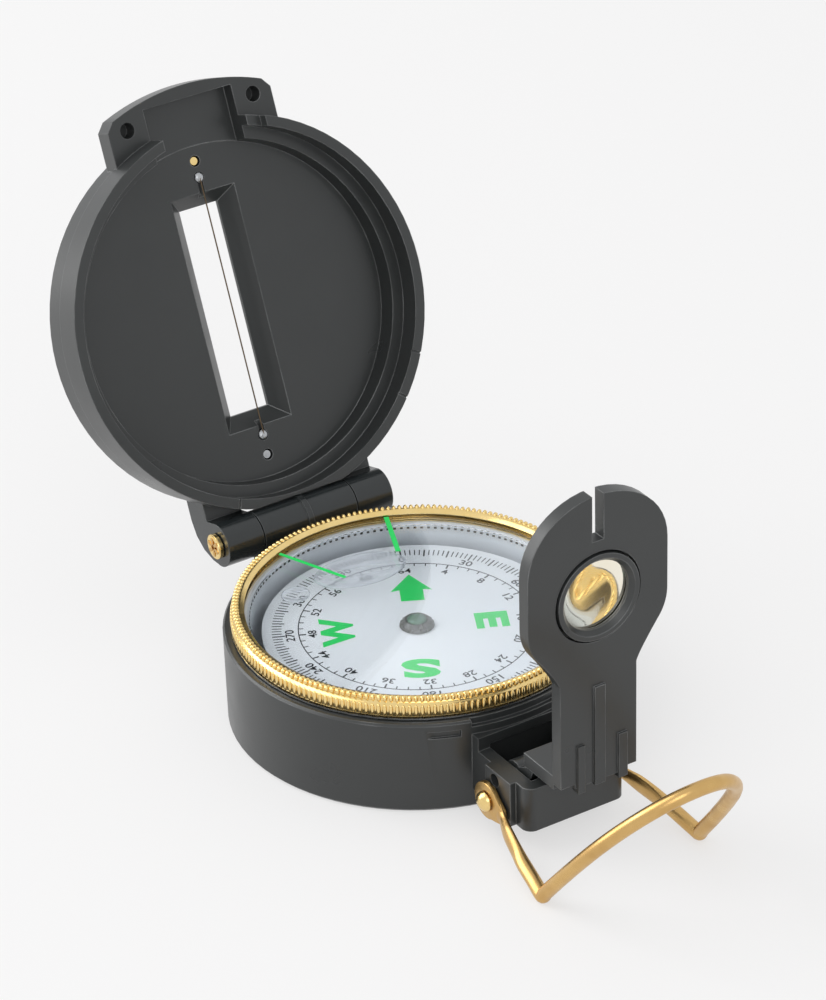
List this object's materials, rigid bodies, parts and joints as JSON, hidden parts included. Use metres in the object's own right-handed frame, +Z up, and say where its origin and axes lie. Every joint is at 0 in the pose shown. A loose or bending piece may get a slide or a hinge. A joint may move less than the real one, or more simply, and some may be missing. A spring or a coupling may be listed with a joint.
{
  "type": "sighting compass",
  "caption": "Pocket sighting compass with a hinged slotted lid, liquid capsule, turning bezel, folding lens eyepiece and wire thumb loop.",
  "frame": {"origin": "middle of the case's flat underside, on the dial's axis", "axes": "+Z up through the dial; +Y the sighting direction, from the eyepiece towards the lid hinge; +X to the right of a user who sights along +Y"},
  "size_m": [0.0592, 0.1358, 0.0776],
  "materials": {
    "moulded_plastic": "moulded, semi-gloss",
    "brass": "bright lacquered",
    "steel": "plated",
    "silvered_cup": "silvered inside",
    "clear_plastic": "clear",
    "lens_glass": "polished lens",
    "gasket": "moulded",
    "dial_card": "printed card",
    "jewel": "polished cap",
    "luminous_paint": "luminous green paint"
  },
  "bodies": {
    "case": {"case_body": "moulded_plastic", "capsule_cup": "silvered_cup", "capsule_gasket": "gasket", "capsule_cover": "clear_plastic", "pivot_post": "steel", "bezel_spring": "steel", "hinge_pin": "brass", "eyepiece_pin": "steel", "loop_rivet_left": "brass", "loop_rivet_right": "brass"},
    "dial": {"dial_card": "dial_card", "dial_magnet": "steel", "jewel_cap": "jewel"},
    "bezel": {"bezel_ring": "brass", "crystal": "clear_plastic", "crystal_retainer": "brass", "index_line_wide": "luminous_paint", "index_line_narrow": "luminous_paint"},
    "lid": {"lid_shell": "moulded_plastic", "sight_wire": "brass", "wire_post_bottom": "steel", "wire_post_top": "steel", "lid_plug_bottom": "steel", "lid_plug_top": "brass"},
    "eyepiece": {"eyepiece_plate": "moulded_plastic", "lens": "lens_glass", "lens_ring": "moulded_plastic"},
    "thumb_loop": {"thumb_loop": "brass"}
  },
  "joints": [
    {"name": "lid_hinge", "type": "hinge", "parent": "case", "child": "lid", "pos_m": [0, 0.0322, 0.01664], "axis": [1, 0, 0], "range_deg": [0, 113]},
    {"name": "eyepiece_hinge", "type": "hinge", "parent": "case", "child": "eyepiece", "pos_m": [0, -0.0343, 0.009], "axis": [1, 0, 0], "range_deg": [-90, 0]},
    {"name": "thumb_loop_hinge", "type": "hinge", "parent": "case", "child": "thumb_loop", "pos_m": [0, -0.0336, 0.0056], "axis": [1, 0, 0], "range_deg": [-38, 110]},
    {"name": "bezel_turn", "type": "hinge", "parent": "case", "child": "bezel", "pos_m": [0, 0, 0.0155], "axis": [0, 0, 1], "continuous": true},
    {"name": "dial_turn", "type": "hinge", "parent": "case", "child": "dial", "pos_m": [0, 0, 0.0133], "axis": [0, 0, 1], "continuous": true}
  ]
}
